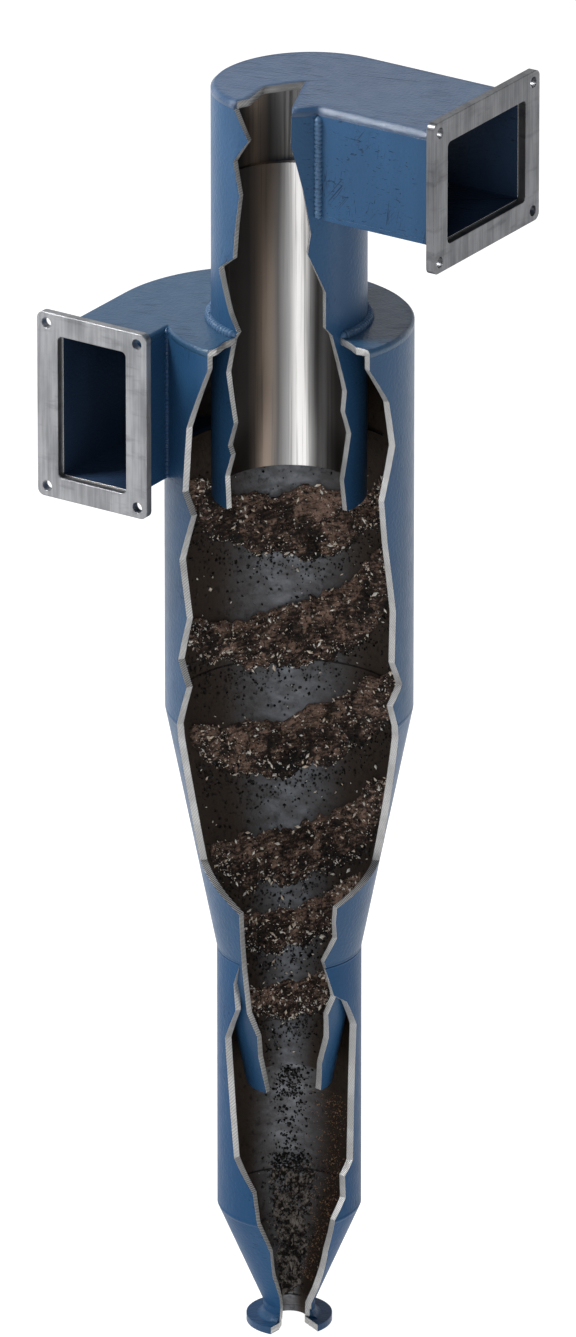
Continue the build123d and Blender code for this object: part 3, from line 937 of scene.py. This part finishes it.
@dataclass
class DustRidge:
    """One lumpy ridge of caked dust along the inner wall.

    Attributes:
        name: the piece's name.
        low: height of the middle line's lowest point, in metres.
        rise: its rise over a right angle.
        start: first angle from the facing, in degrees.
        lowest: angle of the lowest point.
        end: last angle.
        size: share of the largest ridge.
        seed: the random seed.
        tall: height of the largest ridge.
        deep: how far the largest ridge stands off the wall.
    """

    name: str
    low: float
    rise: float
    start: float
    lowest: float
    end: float
    size: float
    seed: int
    tall: float = 0.110
    deep: float = 0.034

    def middle(self, angle: Any) -> Any:
        """Level of the middle line, which sags as a parabola of the angle in degrees."""
        return self.low + self.rise * ((angle - self.lowest) / 90) ** 2

    def surface(self, along: np.ndarray, turn: np.ndarray) -> np.ndarray:
        """The ridge's skin.

        Across the middle line the depth is a flattened half ellipse times seeded lumps, and both
        shrink to nothing at the two ends.

        Args:
            along: share of the way round, 0 to 1.
            turn: angle round the section; the first half turn faces the axis.

        Returns:
            Points in metres, with a last axis of 3.
        """
        along, turn = np.broadcast_arrays(along, turn)
        angle = self.start + (self.end - self.start) * along
        middle = self.middle(angle)
        swell = self.size * np.sqrt(np.sin(np.pi * (along + 0.01) / 1.02))
        theta = np.radians(angle) + FACING
        mean = 0.17
        course = around(mean, theta, middle)
        broad = 1 + 0.22 * waves(course, 0.22, self.seed + 9, 2) + 0.75 * ((angle - self.lowest) / 90) ** 2
        level = middle + swell * broad * self.tall / 2 * np.cos(turn)
        where = around(mean, theta, level)
        front = np.sin(turn).clip(0)
        level = level + 0.013 * swell * waves(where, 0.07, self.seed + 7, 4)
        bulk = 0.78 + 0.24 * waves(where, 0.11, self.seed, 2) + 0.24 * waves(where, 0.045, self.seed + 1, 2)
        fluff = 0.0035 * waves(where, 0.016, self.seed + 2, 3) * front**0.5
        depth = self.deep * swell * front**0.7 * bulk.clip(0.12, 1.25) + fluff
        return around(inner_radius(level) + 0.0015 - depth, theta, level)

    def build(self, material: Any) -> None:
        """Make the ridge.

        Args:
            material: the dust's material.
        """
        reach = math.radians(self.end - self.start) * float(inner_radius(np.array(self.low)))
        long_step, cross_step, lip, tuck = 0.0022, 0.0014, 0.02, 0.3
        along = np.linspace(0, 1, int(reach / long_step))
        front = np.linspace(lip, np.pi - lip, int(self.tall * self.size / cross_step))
        back = np.linspace(np.pi + tuck, 2 * np.pi - tuck, 4)
        points = self.surface(along[:, None], np.concatenate([front, back])[None, :])
        piece = grid_piece(self.name, points, material)
        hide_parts("caked_dust")


def inner_radius(level: np.ndarray) -> np.ndarray:
    """Radius of the main wall's inside: the body above 1088 mm, then the cone down to its tip."""
    cone = BIN_INSIDE + (level - CONE_FOOT) * (BODY_INSIDE - BIN_INSIDE) / (BODY_FOOT - CONE_FOOT)
    return np.where(level > BODY_FOOT, BODY_INSIDE, cone)


def hopper_radius(level: np.ndarray) -> np.ndarray:
    """Radius of the hopper's inside: upright above 213 mm, a cone down to the neck at 36 mm."""
    cone = NECK_INSIDE + (level - NECK_TOP) * (BIN_INSIDE - NECK_INSIDE) / (BIN_FOOT - NECK_TOP)
    return np.clip(cone, NECK_INSIDE, BIN_INSIDE)


def on_wall(angle: np.ndarray, level: np.ndarray, off: float) -> np.ndarray:
    """Places off the main wall's inside by a little, at angles from the facing in degrees."""
    return around(inner_radius(level) - off, np.radians(angle) + FACING, level)


@dataclass
class Grit:
    """Loose grains scattered on the dust and on the walls.

    Attributes:
        name: the piece's name.
        sizes: shortest and longest half length of a grain.
        slim: a grain's width as a share of its length.
        seed: the random seed.
    """

    name: str
    sizes: tuple[float, float]
    slim: float
    seed: int

    def build(self, centres: np.ndarray, material: Any) -> None:
        """Put a small stretched octahedron at each centre, each turned at random.

        Args:
            centres: the grains' centres.
            material: the grains' material.
        """
        draw = np.random.default_rng(self.seed)
        count = len(centres)
        corners = np.array([[1, 0, 0], [-1, 0, 0], [0, 1, 0], [0, -1, 0], [0, 0, 1], [0, 0, -1]], float)
        corners *= np.array([1.0, self.slim, self.slim * 0.8])
        upper = [[0, 2, 4], [2, 1, 4], [1, 3, 4], [3, 0, 4]]
        lower = [[2, 0, 5], [1, 2, 5], [3, 1, 5], [0, 3, 5]]
        faces = np.array(upper + lower)
        turn, _ = np.linalg.qr(draw.normal(size=(count, 3, 3)))
        turn *= np.sign(np.linalg.det(turn))[:, None, None]
        low, high = self.sizes
        scale = low + (high - low) * draw.random(count) ** 2.2
        points = centres[:, None] + scale[:, None, None] * (corners @ turn.transpose(0, 2, 1))
        listed = (faces[None] + 6 * np.arange(count)[:, None, None]).reshape(-1, 3)
        mesh_piece(self.name, points.reshape(-1, 3), listed.tolist(), material, smooth=False)


@dataclass
class CakedInside:
    """The dust that the gas has left on the walls, in ridges that climb round them.

    Attributes:
        ridges: lowest point and rise in metres, three angles and size share of each ridge.
    """

    ridges: tuple = (
        (1.320, 0.219, 108, 180, 240, 0.90),
        (1.118, 0.232, 102, 195, 246, 1.00),
        (0.946, 0.157, 98, 195, 250, 0.92),
        (0.765, 0.115, 88, 200, 256, 0.80),
        (0.645, 0.140, 112, 195, 250, 0.56),
        (0.533, 0.071, 108, 195, 248, 0.50),
    )

    def hopper_cake(self, material: Any) -> None:
        """Crumbs down the back of the hopper's cone: the wall's radius less seeded lumps.

        Args:
            material: the dust's material.
        """
        share, turn = np.meshgrid(np.linspace(0, 1, 170), np.linspace(0, 1, 110), indexing="ij")
        level = 0.030 + 0.200 * share
        half = np.radians(20 + 20 * (1 - share) ** 2)
        theta = FACING + np.pi - 0.06 + half * (2 * turn - 1)
        wall = hopper_radius(level)
        where = around(wall, theta, level)
        edge = np.minimum(np.sin(np.pi * turn), 4 * np.minimum(share, 1 - share)).clip(0, 1)
        lumps = np.abs(waves(where, 0.014, 81, 3)) + 0.9 * waves(where, 0.04, 82, 3)
        depth = 0.0085 * ((0.9 * edge + lumps - 0.75) * edge**0.3).clip(-0.08, 1.2)
        front = around(wall - depth, theta, level)
        behind = around(wall + 0.003, theta, level)
        points = np.concatenate([front, behind[:, ::-1][:, ::12]], 1)
        piece = grid_piece("hopper_cake", points, material)

    def on_hopper(
        self, draw: Any, count: int, middle: float, spread: float, levels: tuple[float, float]
    ) -> np.ndarray:
        """Scatter places on the hopper's wall, thickest about one angle.

        Args:
            draw: the random source.
            count: how many.
            middle: the angle from the facing where they are thickest, in degrees.
            spread: how far they spread to each side, in degrees.
            levels: lowest and highest level.

        Returns:
            The places.
        """
        angle = np.radians(draw.normal(middle, spread, count)) + FACING
        level = draw.uniform(*levels, count)
        return around(hopper_radius(level) - 0.001, angle, level)

    def build(self) -> None:
        """Make the ridges and scatter the grit on them."""
        dust = finish_material("caked_brown_dust", CakedDust())
        ash = finish_material("caked_grey_ash", CakedDust("#090706", "#3a322c", "#a39a92", 0.0, 9.0))
        pale = finish_material("cream_grit", Grain())
        black = finish_material("black_grit", Grain("#171412", "#080706"))
        self.hopper_cake(ash)
        draw = np.random.default_rng(31)
        light, dark, fine = [], [], []
        for number, row in enumerate(self.ridges):
            ridge = DustRidge(f"dust_ridge_{number + 1}", *row, 40 + 5 * number)
            ridge.build(dust)
            count = int(330 * ridge.size)
            along = draw.beta(0.8, 0.8, count) * 0.94 + 0.03
            spots = ridge.surface(along, np.pi * draw.beta(1.7, 1.5, count))
            light.append(spots + draw.normal(0, 0.0022, spots.shape))
            crumbs = int(1000 * ridge.size)
            spots = ridge.surface(draw.uniform(0.02, 0.98, crumbs), np.pi * draw.uniform(0.05, 1.0, crumbs))
            fine.append(spots + draw.normal(0, 0.0016, spots.shape))
            strays = draw.uniform(ridge.start, ridge.end, 45)
            light.append(on_wall(strays, ridge.middle(strays) + draw.normal(0, 0.06, 45), 0.002))
            spots = ridge.surface(draw.uniform(0.03, 0.97, count), np.pi * draw.beta(1.8, 1.0, count))
            dark.append(spots + draw.normal(0, 0.0012, spots.shape))
            # Black specks lie thickest on the wall just below a ridge
            angle = draw.uniform(ridge.start, ridge.end, 500)
            drop = 0.5 * ridge.tall * ridge.size + np.abs(draw.normal(0, 0.035, 500)) - 0.012
            dark.append(on_wall(angle, ridge.middle(angle) - drop, 0.001))
        angle = draw.uniform(95, 262, 800)
        dark.append(on_wall(angle, draw.uniform(0.47, 1.47, 800), 0.001))
        pools = ((300, 9, (0.215, 0.41)), (150, 8, (0.35, 0.40)), (900, 12, (0.04, 0.25)))
        for count, spread, levels in pools:
            dark.append(self.on_hopper(draw, count, 180, spread, levels))
        spots = self.on_hopper(draw, 1500, 178, 12, (0.035, 0.235))
        Grit("ash_crumbs", (0.0012, 0.0040), 0.8, 5).build(spots, ash)
        rust = finish_material("tan_grit", Grain("#c79c7a", "#8a674e"))
        spots = self.on_hopper(draw, 1100, 140, 12, (0.06, 0.37))
        Grit("tan_grains", (0.0008, 0.0028), 0.35, 6).build(spots, rust)
        Grit("cream_grains", (0.0018, 0.0066), 0.46, 3).build(np.concatenate(light), pale)
        Grit("cream_crumbs", (0.0006, 0.0020), 0.7, 7).build(np.concatenate(fine), pale)
        Grit("black_grains", (0.0014, 0.0040), 0.85, 4).build(np.concatenate(dark), black)


@dataclass
class Studio:
    """Plain pale floor, soft lights and the camera.

    Attributes:
        aim: the point that the camera looks at.
        turn: the camera's angle round the object, in degrees.
        rise: its angle above the horizon.
        away: its distance.
        lens: its lens on a 36 mm frame.
        lamps: name, metres right, near and up, size and watts of each light.
    """

    aim: tuple[float, float, float] = (-0.0017, -0.0011, 1.1484)
    turn: float = 33.38
    rise: float = 22.54
    away: float = 28.224
    lens: float = 472.7
    lamps: tuple = (
        ("left_rim", -2.7, -2.9, 2.4, (0.9, 3.4), 18),
        ("left_strip", -3.7, 0.1, 2.0, (0.45, 3.4), 24),
        ("right_rim", 2.8, -3.1, 2.2, (0.8, 3.4), 20),
        ("tube_strip", 3.6, 1.3, 0.7, (0.3, 1.4), 12),
        ("front_softbox", -0.7, 5.0, 4.2, (1.6, 1.6), 56),
        ("key_softbox", -2.6, 0.2, 5.0, (1.0, 1.6), 205),
        ("back_softbox", 0.0, -5.5, 4.4, (4.2, 1.6), 20),
    )

    def lamp(
        self, name: str, right: float, near: float, up: float, size: tuple[float, float], power: float
    ) -> None:
        """Hang a soft rectangular light that faces the body.

        Args:
            name: the light's name.
            right: metres to the right as the camera sees it.
            near: metres towards the camera.
            up: metres above the floor.
            size: its width and height.
            power: its watts.
        """
        angle = math.radians(self.turn)
        across = Vector((math.cos(angle), math.sin(angle), 0))
        back = Vector((math.sin(angle), -math.cos(angle), 0))
        data = bpy.data.lights.new(name, "AREA")
        data.shape, data.size, data.size_y, data.energy = "RECTANGLE", size[0], size[1], power
        lamp = bpy.data.objects.new(name, data)
        lamp.location = across * right + back * near + Vector((0, 0, up))
        lamp.rotation_mode = "QUATERNION"
        lamp.rotation_quaternion = (Vector((0, 0, 1.15)) - lamp.location).to_track_quat("-Z", "Y")
        bpy.context.scene.collection.objects.link(lamp)

    def build(self) -> None:
        """Make the floor, the light and the camera."""
        scene = bpy.context.scene
        scene.view_settings.view_transform = "Standard"
        floor = bpy.data.meshes.new("floor")
        half, level = 60, -0.001
        corners = [(-half, -half, level), (half, -half, level), (half, half, level), (-half, half, level)]
        floor.from_pydata(corners, [], [(0, 1, 2, 3)])
        pale = bpy.data.materials.new("white_floor")
        pale.use_nodes = True
        board = pale.node_tree.nodes["Principled BSDF"]
        board.inputs["Base Color"].default_value = linear("#808080")
        board.inputs["Roughness"].default_value = 0.9
        board.inputs["Emission Color"].default_value = (1, 1, 1, 1)
        board.inputs["Emission Strength"].default_value = 1.0
        floor.materials.append(pale)
        ground = bpy.data.objects.new("floor", floor)
        scene.collection.objects.link(ground)

        world = bpy.data.worlds.new("studio")
        world.use_nodes = True
        tree = world.node_tree
        tree.nodes.clear()
        way = add(tree, "ShaderNodeTexCoord", out="Generated")
        height = axis_of(tree, way)
        bands = ((0.0, "#c9ccd0"), (0.3, "#f4f5f7"), (0.6, "#7d8085"), (1.0, "#66696e"))
        stops = [(spot, linear(colour)) for spot, colour in bands]
        sky = add(tree, "ShaderNodeValToRGB", {"stops": stops}, {0: height}, "Color")
        glow = add(tree, "ShaderNodeBackground", None, {"Color": sky, "Strength": 0.42})
        add(tree, "ShaderNodeOutputWorld", None, {"Surface": glow})
        scene.world = world

        for row in self.lamps:
            self.lamp(*row)

        angle, lift = math.radians(self.turn), math.radians(self.rise)
        back = Vector((math.sin(angle) * math.cos(lift), -math.cos(angle) * math.cos(lift), math.sin(lift)))
        data = bpy.data.cameras.new("camera")
        data.lens, data.sensor_width, data.clip_start, data.clip_end = self.lens, 36.0, 1.0, 120.0
        camera = bpy.data.objects.new("camera", data)
        camera.location = Vector(self.aim) + back * self.away
        camera.rotation_mode = "QUATERNION"
        camera.rotation_quaternion = (-back).to_track_quat("-Z", "Y")
        scene.collection.objects.link(camera)
        scene.camera = camera


def main() -> None:
    """Build the sub-assemblies in order."""
    logging.basicConfig(level=logging.INFO, format="%(name)s: %(message)s")
    for assembly in (Shell(), WeldRuns(), CakedInside(), Studio()):
        assembly.build()
        log.info("%s is done", type(assembly).__name__)


if __name__ == "__main__":
    main()
